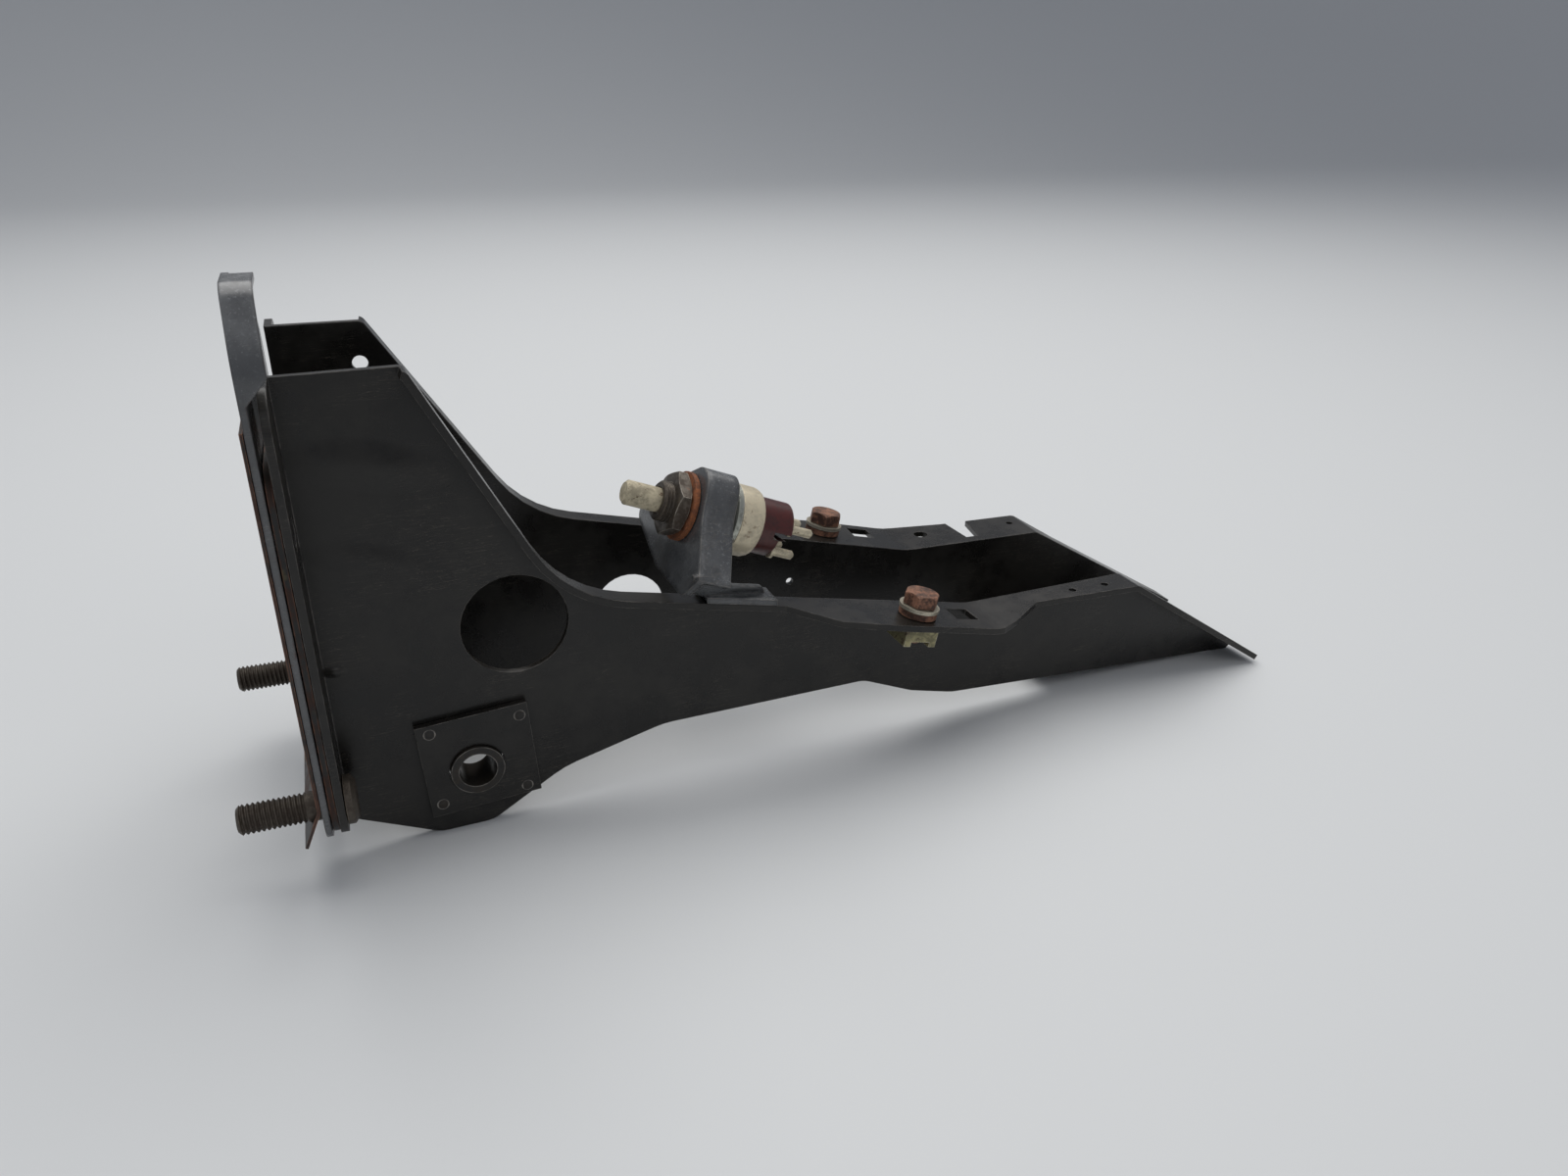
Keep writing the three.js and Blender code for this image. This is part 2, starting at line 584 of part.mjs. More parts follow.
// ---- switch -------------------------------------------------------------
const crimpEnd = NECK.end + CRIMP.thick;
const canStart = crimpEnd + GAP;
const canEnd = canStart + CAN.length;
const collarEnd = canStart + PLUNGER.collarThick;
const bridgeX = collarEnd + GAP;
const hollowEnd = BASE.low - BASE.wall;

function plunger() {
  const { radius, chamfer, tip, collar, stem, stemLength } = PLUNGER;
  return turned([
    [tip, 0], [tip, radius - chamfer], [tip + chamfer, radius], [canStart, radius], [canStart, collar],
    [collarEnd, collar], [collarEnd, stem], [collarEnd + stemLength, stem], [collarEnd + stemLength, 0],
  ], 24);
}

function switchHousing() {
  const { radius, chamfer, start, end } = NECK;
  const bore = PLUNGER.radius + RUN;
  return turned([
    [start, bore], [start, radius - chamfer], [start + chamfer, radius], [end, radius],
    [end, CRIMP.radius - CRIMP.lip], [end + CRIMP.lip, CRIMP.radius], [crimpEnd, CRIMP.radius],
    [crimpEnd, bore], [start, bore],
  ]);
}

function switchCan() {
  const { radius, wall, shoulder } = CAN;
  const mouth = BASE.radius + GAP;
  const inner = radius - wall;
  return turned([
    [canStart, inner], [canStart, radius], [canEnd - shoulder * 0.7, radius],
    [canEnd - shoulder * 0.2, radius - shoulder * 0.2], [canEnd, radius - shoulder * 0.5],
    [canEnd, mouth], [canEnd - wall, mouth], [canEnd - wall - 0.4, inner], [canStart, inner],
  ]);
}

function switchBase() {
  const { radius, flange, flangeThick, hollow, low, high } = BASE;
  const flangeEnd = canStart + flangeThick;
  const cup = turned([
    [canStart, hollow], [canStart, flange], [flangeEnd, flange], [flangeEnd, radius], [high, radius],
    [high, 0], [hollowEnd, 0], [hollowEnd, hollow], [canStart, hollow],
  ]);
  const step = box(low, high + 1, -radius - 1, radius + 1, -radius - 1, -SLOT.half);
  const groove = box(low - SLOT.depth, high + 1, -radius - 1, radius + 1, -SLOT.half, SLOT.half);
  const sockets = pinPlaces().map(({ y, z, seat }) =>
    solid(rod(seat - PIN.length / 2, seat + 5, PIN.shank + GAP, 12).translate(0, y, z)));
  return cut(solid(cup), solid(step), solid(groove), ...sockets);
}

function pinPlaces() {
  const { y, upper, lower } = PIN_PLACES;
  return [
    { name: "near_upper", y: -y, z: upper, seat: BASE.high },
    { name: "far_upper", y, z: upper, seat: BASE.high },
    { name: "near_lower", y: -y, z: lower, seat: BASE.low },
    { name: "far_lower", y, z: lower, seat: BASE.low },
  ];
}

function terminal({ y, z, seat }) {
  const { radius, chamfer, collar, collarThick, shank, length } = PIN;
  const foot = seat - length / 2 + GAP;
  const start = seat + GAP;
  const neck = start + collarThick;
  const end = neck + length - 1;
  return turned([
    [foot, 0], [foot, shank], [start, shank], [start, collar], [neck, collar],
    [neck, radius], [end - chamfer, radius], [end, radius - chamfer], [end, 0],
  ], 16).translate(0, y, z);
}

// a conical coil: a hexagonal wire swept along a helix about the x axis
function returnSpring() {
  const { wire, small, large, turns } = SPRING;
  const from = bridgeX + BRIDGE.thick + GAP + wire;
  const to = hollowEnd - GAP - wire;
  const [steps, sides] = [Math.round(turns * 16), 6];
  const positions = [];
  for (let i = 0; i <= steps; i++) {
    const part = i / steps;
    const angle = 2 * Math.PI * turns * part;
    for (let k = 0; k < sides; k++) {
      const around = (2 * Math.PI * k) / sides;
      const radius = small + (large - small) * part + wire * Math.cos(around);
      const x = from + (to - from) * part + wire * Math.sin(around);
      positions.push(x, radius * Math.cos(angle), radius * Math.sin(angle));
    }
  }
  const index = [];
  for (let i = 0; i < steps; i++) {
    for (let k = 0; k < sides; k++) {
      const [a, b] = [i * sides + k, i * sides + ((k + 1) % sides)];
      index.push(a, b, a + sides, b, b + sides, a + sides);
    }
  }
  for (let k = 1; k < sides - 1; k++) {
    const last = steps * sides;
    index.push(0, k + 1, k, last, last + k, last + k + 1);
  }
  const geometry = new THREE.BufferGeometry();
  geometry.setAttribute("position", new THREE.Float32BufferAttribute(positions, 3));
  return geometry.setIndex(index);
}

function lockNut(x0, wall) {
  const { thick, clearance } = NUT;
  const across = 2 * (NECK.radius + wall);
  const blank = solid(chamferedHex(x0, x0 + thick, across, true));
  return cut(blank, solid(rod(x0 - 1, x0 + thick + 1, NECK.radius + clearance)));
}

function brakeSwitch() {
  const group = new THREE.Group();
  const washer = -GAP - RUSTY_WASHER.thick;
  group.applyMatrix4(switchFrame);
  add("switch_plunger", "cream", plunger(), group);
  add("contact_bridge", "brass", bridge(), group);
  add("return_spring", "spring", returnSpring(), group);
  add("switch_housing", "zinc", switchHousing(), group);
  add("switch_can", "cream", switchCan(), group);
  add("switch_base", "bakelite", switchBase(), group);
  pinPlaces().forEach((place) => add(`${place.name}_terminal`, "brass", terminal(place), group));
  add("front_nut", "steel", lockNut(washer - GAP - NUT.thick, NUT.wall), group);
  add("nut_washer", "rust", ring(washer, -GAP, RUSTY_WASHER.outer, NECK.radius + NECK_PLAY), group);
  add("rear_nut", "steel", lockNut(HOLDER.gauge + GAP, NUT.rearWall), group);
  model.add(group);
}

function bridge() {
  const { radius, thick } = BRIDGE;
  return ring(bridgeX, bridgeX + thick, radius, PLUNGER.stem + GAP, 24);
}

// ---- assembly -----------------------------------------------------------
for (const [name, side] of Object.entries(SIDES)) {
  add(`${name}_side_panel`, "paint", sidePanel(side));
  add(`${name}_bearing_plate`, "paint", bearingPlate(side));
  add(`${name}_pivot_bush`, "paint", pivotBush(side));
  add(`${name}_stud`, "steel", stud(side));
  boltSet(name, side);
}
add("mounting_plate", "paint", mountingPlate());
add("doubler_plate", "paint", doublerPlate());
add("backing_plate", "zinc", backingPlate());
add("nose_tie", "paint", noseTie());
add("switch_holder", "slate", switchHolder());
brakeSwitch();

// the origin goes to the middle of the length, on the ground line
const lowest = -Math.max(...Object.values(SIDES).map(({ stud: { length } }) => length));
model.position.x = -(lowest + LENGTH) / 2;
const part = new THREE.Group();
part.add(model);

export default part;
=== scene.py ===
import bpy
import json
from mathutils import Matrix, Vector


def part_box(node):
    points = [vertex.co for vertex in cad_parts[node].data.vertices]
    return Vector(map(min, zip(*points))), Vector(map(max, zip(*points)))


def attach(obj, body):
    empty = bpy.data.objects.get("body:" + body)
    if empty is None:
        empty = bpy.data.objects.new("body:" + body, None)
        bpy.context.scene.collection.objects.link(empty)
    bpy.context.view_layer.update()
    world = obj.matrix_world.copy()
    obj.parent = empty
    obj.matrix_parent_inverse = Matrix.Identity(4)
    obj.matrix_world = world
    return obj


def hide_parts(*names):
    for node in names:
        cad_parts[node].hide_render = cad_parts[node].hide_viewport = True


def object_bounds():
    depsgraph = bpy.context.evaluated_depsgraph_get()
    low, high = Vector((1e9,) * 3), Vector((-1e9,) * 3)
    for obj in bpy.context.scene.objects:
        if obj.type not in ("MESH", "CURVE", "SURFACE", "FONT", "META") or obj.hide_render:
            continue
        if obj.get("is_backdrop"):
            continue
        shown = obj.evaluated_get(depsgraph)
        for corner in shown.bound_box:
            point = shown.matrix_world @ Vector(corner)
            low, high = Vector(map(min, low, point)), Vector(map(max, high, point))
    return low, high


bl_info = {
    "name": "Pedal bracket finishes",
    "version": (1, 0, 0),
    "blender": (4, 5, 0),
    "location": "View3D > Sidebar > Bracket",
    "description": "Builds the painted, rusted and threaded surfaces of a pedal bracket and its lamp switch",
    "category": "Object",
}

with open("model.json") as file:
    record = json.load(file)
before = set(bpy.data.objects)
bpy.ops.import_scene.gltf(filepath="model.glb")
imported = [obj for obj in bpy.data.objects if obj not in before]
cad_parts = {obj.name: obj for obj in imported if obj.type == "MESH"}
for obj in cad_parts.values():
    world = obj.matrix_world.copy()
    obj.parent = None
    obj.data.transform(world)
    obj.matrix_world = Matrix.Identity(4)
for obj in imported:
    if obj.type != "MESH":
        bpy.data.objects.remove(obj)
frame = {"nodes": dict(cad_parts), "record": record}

import json
import math

import bmesh
import bpy
import numpy as np
from bpy.props import FloatProperty, FloatVectorProperty, PointerProperty
from mathutils import Matrix, Vector

NODES = frame["nodes"]
CAD_LOW, CAD_HIGH = (list(corner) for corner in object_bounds())
FINISHES = {}
MM = 0.001

# Sizes that the frame's own boxes don't give, in metres
STUD_RADIUS = 4.0 * MM
STUD_CHAMFER = 0.9 * MM
STUD_HEAD_THICK = 2.9 * MM
STUD_HEAD_STRAIGHT = 1.7 * MM  # the part of the head before its taper
STUD_HEAD_TAPER = 1.6 * MM
STUD_PLAIN = 9 * MM  # plain shank between the thread and the head
NECK_RADIUS = 5.9 * MM
NECK_BORE = 3.95 * MM
NECK_START = -9 * MM
NECK_END = 11.4 * MM
CRIMP_RADIUS = 10.9 * MM
CRIMP_BACK = 13.6 * MM
CRIMP_LIP = 0.7 * MM

# The same in millimetres, for pieces set on a web
ORIGIN_X = 151.5  # from the mounting face to the frame's origin
WEB_HALF = 30.0  # from the middle plane to a web's outer face, at the mounting face
BEARING_X, BEARING_Z = 42.9, 22.7  # middle of a bearing plate
BEARING_PROUD = 2.3  # from a web's outer face to the bearing plate's
TAPER = math.radians(1.8)
SWITCH_POINT = Vector((109.6 - ORIGIN_X, -17.1, 85.7)) * MM
SWITCH_PITCH = math.radians(22)
SWITCH_YAW = math.radians(2)


# ---- settings -------------------------------------------------------------
def colour(name, default, description):
    """A colour property with the sidebar's colour picker."""
    return FloatVectorProperty(
        name=name, default=default, description=description, subtype="COLOR", size=3, min=0, max=1
    )


def length(name, default, description):
    """A length property in metres."""
    return FloatProperty(
        name=name, default=default, description=description, subtype="DISTANCE", unit="LENGTH",
        min=0, precision=5,
    )


class PaintSettings(bpy.types.PropertyGroup):
    black: colour("Black", (0.0075, 0.0070, 0.0062), "Stoving enamel on the pressed panels")
    faded: colour("Faded black", (0.016, 0.0148, 0.0128), "The same enamel where it has dulled")
    slate: colour("Slate", (0.062, 0.065, 0.068), "Grey enamel on the ear and the switch holder")
    # Painted sheen: this light grey is laid on up-facing slate enamel and stands in for the reflection of the
    # overhead light
    sky_sheen: colour("Polished slate", (0.30, 0.31, 0.315), "Slate enamel rubbed bright where it faces up")
    bare: colour("Bare steel", (0.27, 0.25, 0.225), "Metal showing through at worn edges")
    dust: colour("Dust", (0.25, 0.215, 0.17), "Settled dust")
    wear_width: length("Wear width", 0.55 * MM, "How far the paint has worn back from an edge")


class SteelSettings(bpy.types.PropertyGroup):
    rust_dark: colour("Dark rust", (0.050, 0.022, 0.014), "Old rust in the hollows")
    rust_light: colour("Light rust", (0.29, 0.135, 0.080), "Fresh rust on raised places")
    oxide: colour("Oxide", (0.085, 0.072, 0.058), "Dark skin on threads and bushes")
    zinc: colour("Zinc", (0.46, 0.42, 0.33), "Plated washers")
    yellow_zinc: colour("Yellow zinc", (0.34, 0.31, 0.17), "Passivated cage nuts")
    stud_pitch: length("Stud pitch", 1.25 * MM, "Thread pitch of the two studs")
    stud_depth: length("Stud thread depth", 0.62 * MM, "Crest to root of the studs' thread")


class SwitchSettings(bpy.types.PropertyGroup):
    plunger: colour("Plunger", (0.56, 0.49, 0.34), "Aged cream plastic")
    shell: colour("Can", (0.66, 0.58, 0.42), "Lacquered can")
    plated: colour("Plated steel", (0.40, 0.41, 0.36), "Crimped disc and neck")
    bakelite: colour("Base", (0.070, 0.012, 0.010), "Dark red moulding")
    pin: colour("Terminals", (0.62, 0.55, 0.40), "Tinned terminals")
    neck_pitch: length("Neck pitch", 1.0 * MM, "Thread pitch of the switch's neck")
    neck_depth: length("Neck thread depth", 0.5 * MM, "Crest to root of the neck's thread")


class StageSettings(bpy.types.PropertyGroup):
    floor: colour("Floor", (0.66, 0.675, 0.68), "Plain pale floor")
    eye: FloatVectorProperty(
        name="Camera place", default=(-0.1271, -0.3104, 0.2047), subtype="TRANSLATION", unit="LENGTH",
        description="Where the camera stands",
    )
    target: FloatVectorProperty(
        name="Camera target", default=(-0.0040, 0.0, 0.0457), subtype="TRANSLATION", unit="LENGTH",
        description="The point in the middle of the picture",
    )
    roll: FloatProperty(
        name="Camera roll", default=math.radians(-0.55), subtype="ANGLE", unit="ROTATION",
        description="Tilt of the camera about its own line of sight",
    )
    lens: FloatProperty(name="Lens", default=25.8, description="Focal length in millimetres", min=5)


def settings(name):
    """One of the scene's setting groups."""
    return getattr(bpy.context.scene, name)


# ---- meshes ---------------------------------------------------------------
def grid_mesh(name, points, closed_rows=False):
    """A mesh from points[row, column]: each cell is one face. Columns wrap round, and rows do too if
    closed_rows is set."""
    rows, columns = points.shape[:2]
    last = rows if closed_rows else rows - 1
    row, column = np.meshgrid(np.arange(last), np.arange(columns), indexing="ij")
    next_row, next_column = (row + 1) % rows, (column + 1) % columns
    corners = np.stack(
        [row * columns + column, row * columns + next_column,
         next_row * columns + next_column, next_row * columns + column], axis=-1
    ).reshape(-1, 4)
    mesh = bpy.data.meshes.new(name)
    mesh.vertices.add(rows * columns)
    mesh.vertices.foreach_set("co", points.reshape(-1).astype(np.float32))
    mesh.loops.add(corners.size)
    mesh.loops.foreach_set("vertex_index", corners.reshape(-1).astype(np.int32))
    mesh.polygons.add(len(corners))
    mesh.polygons.foreach_set("loop_start", np.arange(0, corners.size, 4, dtype=np.int32))
    mesh.update(calc_edges=True)
    return mesh


def settle(mesh, sharp=math.radians(32), outward=True):
    """Merges doubled points, turns faces outwards and keeps edges sharper than the given angle crisp."""
    work = bmesh.new()
    work.from_mesh(mesh)
    bmesh.ops.remove_doubles(work, verts=work.verts, dist=1e-6)
    if outward:
        bmesh.ops.recalc_face_normals(work, faces=work.faces)
    work.to_mesh(mesh)
    work.free()
    given = mesh.attributes.get("custom_normal")
    if given:
        mesh.attributes.remove(given)
    mesh.polygons.foreach_set("use_smooth", np.ones(len(mesh.polygons), dtype=bool))
    mesh.set_sharp_from_angle(angle=sharp)
    return mesh


def flatten(mesh):
    """Joins the triangles that lie in one plane, so that an edge rounds evenly along its length."""
    work = bmesh.new()
    work.from_mesh(mesh)
    bmesh.ops.dissolve_limit(work, angle_limit=math.radians(0.4), verts=work.verts, edges=work.edges)
    work.to_mesh(mesh)
    work.free()


def show(name, mesh, material):
    """A new object at the origin that carries the mesh and the material."""
    piece = bpy.data.objects.new(name, mesh)
    bpy.context.scene.collection.objects.link(piece)
    mesh.materials.clear()
    mesh.materials.append(material)
    return piece


def resampled(profile, step):
    """The profile's (s, r) corners with points no more than step apart along each straight stretch."""
    profile = np.asarray(profile, dtype=float)
    pieces = []
    for start, end in zip(profile[:-1], profile[1:]):
        count = max(1, int(np.ceil(np.linalg.norm(end - start) / step)))
        share = np.arange(count)[:, None] / count
        pieces.append(start + (end - start) * share)
    return np.vstack([*pieces, profile[-1:]])


def threaded_turning(name, profile, radius, thread, around=48, closed=False):
    """A turned piece about x. A point is (s, r cos a, r sin a), and where r is the outer radius inside the
    threaded stretch, r sinks by depth * (1 + cos(2 pi (s / pitch - a / 2 pi))) / 2, fading at both ends."""
    start, end, pitch, depth = thread
    line = resampled(profile, pitch / 7)
    if closed:
        line = line[:-1]
    s, r = line[:, :1], line[:, 1:]
    angle = np.linspace(0, 2 * np.pi, around, endpoint=False)[None, :]
    fade = np.clip((s - start) / pitch, 0, 1) * np.clip((end - s) / pitch, 0, 1)
    outside = np.abs(r - radius) < 1e-6
    wave = 0.5 + 0.5 * np.cos(2 * np.pi * s / pitch - angle)
    radii = r - np.where(outside, depth * fade * wave, 0)
    points = np.stack([s + 0 * angle, radii * np.cos(angle), radii * np.sin(angle)], axis=-1)
    return grid_mesh(name, points, closed_rows=closed)


def pillow(name, size, lift, sink=0.4 * MM, rows=24, around=28):
    """A soft swelling on a face, lying in x and z and rising towards -y. With u from -1 to 1 along it and q
    from -1 to 1 across it, its half width is w sqrt(1 - u u) and its rise is
    lift cos(pi u / 2)^2 cos(pi q / 2)^2."""
    u = np.sin(np.linspace(-np.pi / 2, np.pi / 2, rows))[:, None]
    angle = np.linspace(0, 2 * np.pi, around, endpoint=False)[None, :]
    q = np.cos(angle)
    half = size[1] / 2 * np.sqrt(np.clip(1 - u * u, 0, 1))
    rise = lift * np.cos(np.pi * u / 2) ** 2 * np.cos(np.pi * q / 2) ** 2
    depth = np.where(np.sin(angle) >= 0, rise, -sink * (1 - u * u))
    points = np.stack([size[0] / 2 * u + 0 * q, -depth, half * q], axis=-1)
    return grid_mesh(name, points)


def joined(name, meshes):
    """One mesh from several, each already in its place."""
    work = bmesh.new()
    for mesh in meshes:
        work.from_mesh(mesh)
    whole = bpy.data.meshes.new(name)
    work.to_mesh(whole)
    work.free()
    return whole


def web_place(side, x, z, proud=0.0, turn=0.0):
    """The matrix that sets a piece on a web's outer face, at x from the mounting face and height z, both in
    millimetres."""
    sign = {"near": 1, "far": -1}[side]
    face = WEB_HALF - x * math.tan(TAPER) + proud / math.cos(TAPER)
    place = Matrix.Translation(Vector((x - ORIGIN_X, -sign * face, z)) * MM)
    lean = Matrix.Rotation(sign * TAPER, 4, "Z")
    flip = Matrix.Rotation(0 if sign > 0 else math.pi, 4, "Z")
    return place @ lean @ flip @ Matrix.Rotation(sign * turn, 4, "Y")


def switch_frame():
    """The switch's own axes: x along the plunger towards the terminals, tipped down and turned a little."""
    turn = Matrix.Rotation(SWITCH_YAW, 4, "Z") @ Matrix.Rotation(SWITCH_PITCH, 4, "Y")
    return Matrix.Translation(SWITCH_POINT) @ turn


def refined(node, material, edge=0.0, sharp=math.radians(32)):
    """A merged copy of a CAD node standing for it on the same body. Its sharp edges are rounded by edge
    metres, and its flat faces keep their own normals where they meet a rounding."""
    mesh = settle(NODES[node].data.copy(), sharp, outward=False)
    piece = show(node + "_skin", mesh, material)
    if edge:
        flatten(mesh)
        rounding = piece.modifiers.new("rounded edges", "BEVEL")
        rounding.width, rounding.segments = edge, 2
        rounding.limit_method, rounding.angle_limit = "ANGLE", math.radians(50)
        rounding.miter_outer = "MITER_ARC"
    weight = piece.modifiers.new("flat faces", "WEIGHTED_NORMAL")
    weight.keep_sharp = True
    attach(piece, BODY_OF[node])
    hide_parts(node)
    return piece


def bodies():
    """The body that each CAD node rides on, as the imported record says."""
    groups = frame["record"]["behaviour"]["bodies"]
    return {node: body for body, members in groups.items() for node in members}


BODY_OF = bodies()


# ---- shader groups ----------------------------------------------------------
class Wiring:
    """Adds nodes to a tree and feeds their inputs with values or with other nodes' sockets."""

    def __init__(self, tree):
        self.tree = tree

    def add(self, kind, inputs=(), **options):
        node = self.tree.nodes.new(kind)
        for key, value in options.items():
            setattr(node, key, value)
        for key, value in dict(inputs).items():
            self.feed(node.inputs[key], value)
        return node

    def feed(self, socket, value):
        if isinstance(value, bpy.types.NodeSocket):
            self.tree.links.new(value, socket)
        elif socket.type == "RGBA":
            socket.default_value = (*value[:3], 1)
        else:
            socket.default_value = value

    def math(self, operation, *values, clamp=False):
        node = self.add("ShaderNodeMath", dict(enumerate(values)), operation=operation, use_clamp=clamp)
        return node.outputs[0]

    def blend(self, mask, under, over):
        node = self.add("ShaderNodeMix", data_type="RGBA", blend_type="MIX")
        self.feed(node.inputs[0], mask)
        self.feed(node.inputs[6], under)
        self.feed(node.inputs[7], over)
        return node.outputs[2]

    def lerp(self, mask, under, over):
        node = self.add("ShaderNodeMix", data_type="FLOAT")
        self.feed(node.inputs[0], mask)
        self.feed(node.inputs[2], under)
        self.feed(node.inputs[3], over)
        return node.outputs[0]

    def noise(self, place, scale, detail=4.0, roughness=0.6):
        return self.add(
            "ShaderNodeTexNoise", {"Vector": place, "Scale": scale, "Detail": detail, "Roughness": roughness}
        ).outputs["Fac"]

    def steps(self, value, low, high, to_low=0.0, to_high=1.0):
        return self.add(
            "ShaderNodeMapRange",
            {"Value": value, "From Min": low, "From Max": high, "To Min": to_low, "To Max": to_high},
            interpolation_type="SMOOTHSTEP",
        ).outputs[0]

    def group(self, name, **inputs):
        node = self.add("ShaderNodeGroup", node_tree=bpy.data.node_groups[name])
        for key, value in inputs.items():
            self.feed(node.inputs[key.replace("_", " ")], value)
        return node.outputs[0]


def new_group(name, inputs, output):
    """An empty shader group with named inputs and one output: its wiring, its inputs and its output socket."""
    tree = bpy.data.node_groups.new(name, "ShaderNodeTree")
    kinds = {"vector": "NodeSocketVector", "value": "NodeSocketFloat"}
    for label, kind in inputs.items():
        tree.interface.new_socket(label, in_out="INPUT", socket_type=kinds[kind])
    tree.interface.new_socket(output, in_out="OUTPUT", socket_type="NodeSocketFloat")
    wiring = Wiring(tree)
    source = wiring.add("NodeGroupInput").outputs
    sink = wiring.add("NodeGroupOutput").inputs[0]
    return wiring, source, sink


def mottle_group():
    """Cloudy patches: two sizes of noise, cut between a low and a high threshold."""
    w, given, result = new_group(
        "Mottle", {"Vector": "vector", "Scale": "value", "Low": "value", "High": "value"}, "Mask"
    )
    broad = w.noise(given["Vector"], given["Scale"], 5.0)
    fine = w.noise(given["Vector"], w.math("MULTIPLY", given["Scale"], 5.3), 4.0)
    mixed = w.math("MULTIPLY_ADD", fine, 0.35, w.math("MULTIPLY", broad, 0.65))
    w.feed(result, w.steps(mixed, given["Low"], given["High"]))


def edge_wear_group():
    """Worn edges: how far a rounded normal turns from the true one within a width, broken up by noise."""
    w, given, result = new_group(
        "Edge wear", {"Vector": "vector", "Width": "value", "Amount": "value"}, "Mask"
    )
    rounded = w.add("ShaderNodeBevel", {"Radius": given["Width"]}, samples=6).outputs[0]
    true = w.add("ShaderNodeNewGeometry").outputs["Normal"]
    turn = w.add("ShaderNodeVectorMath", {0: rounded, 1: true}, operation="DOT_PRODUCT").outputs["Value"]
    edge = w.steps(turn, 0.995, 0.86)
    chips = w.steps(w.noise(given["Vector"], 260.0, 5.0), 0.62, 0.38)
    broken = w.math("MULTIPLY", edge, w.math("ADD", chips, 0.25))
    w.feed(result, w.math("MULTIPLY", broken, given["Amount"], clamp=True))


def dust_and_sheen_group():
    """A thin, patchy mask on what faces up: settled dust, and on the slate finishes a painted sheen standing
    in for the overhead light's reflection.
    """
    # The group named Dust also masks the painted sheen on up-facing faces
    w, given, result = new_group("Dust", {"Vector": "vector", "Amount": "value"}, "Mask")
    normal = w.add("ShaderNodeNewGeometry").outputs["Normal"]
    rise = w.add("ShaderNodeSeparateXYZ", {0: normal}).outputs["Z"]
    upward = w.steps(rise, 0.1, 0.95, 0.25, 1.0)
    cloud = w.steps(w.noise(given["Vector"], 55.0, 6.0, 0.7), 0.38, 0.72)
    grit = w.steps(w.noise(given["Vector"], 1400.0, 2.0), 0.56, 0.74)
    both = w.math("ADD", w.math("MULTIPLY", cloud, 0.6), w.math("MULTIPLY", grit, 0.6))
    w.feed(result, w.math("MULTIPLY", w.math("MULTIPLY", upward, both), given["Amount"], clamp=True))


def scratch_group():
    """Fine scratches: stretched noise in two directions, kept only near its middle value."""
    w, given, result = new_group("Scratches", {"Vector": "vector", "Amount": "value"}, "Mask")
    total = None
    for turn, stretch in ((0.5, (40, 900, 900)), (-0.9, (55, 1300, 1300))):
        place = w.add(
            "ShaderNodeMapping", {"Vector": given["Vector"], "Rotation": (0.2, turn, 0.3), "Scale": stretch}
        ).outputs[0]
        line = w.noise(place, 1.0, 2.0)
        near = w.math("ABSOLUTE", w.math("SUBTRACT", line, 0.5))
        mark = w.steps(near, 0.006, 0.0)
        total = mark if total is None else w.math("MAXIMUM", total, mark)
    patch = w.steps(w.noise(given["Vector"], 45.0, 3.0), 0.46, 0.62)
    w.feed(result, w.math("MULTIPLY", w.math("MULTIPLY", total, patch), given["Amount"], clamp=True))


def grain_group():
    """Height in millimetres of a sprayed or cast skin: fine noise over a slow ripple."""
    w, given, result = new_group(
        "Grain", {"Vector": "vector", "Scale": "value", "Fine": "value", "Ripple": "value"}, "Height"
    )
    fine = w.noise(given["Vector"], given["Scale"], 3.0)
    slow = w.noise(given["Vector"], 34.0, 1.0)
    w.feed(result, w.math("MULTIPLY_ADD", fine, given["Fine"], w.math("MULTIPLY", slow, given["Ripple"])))


def make_groups():
    """Builds the shader groups that the finishes share."""
    mottle_group()
    edge_wear_group()
    dust_and_sheen_group()
    scratch_group()
    grain_group()


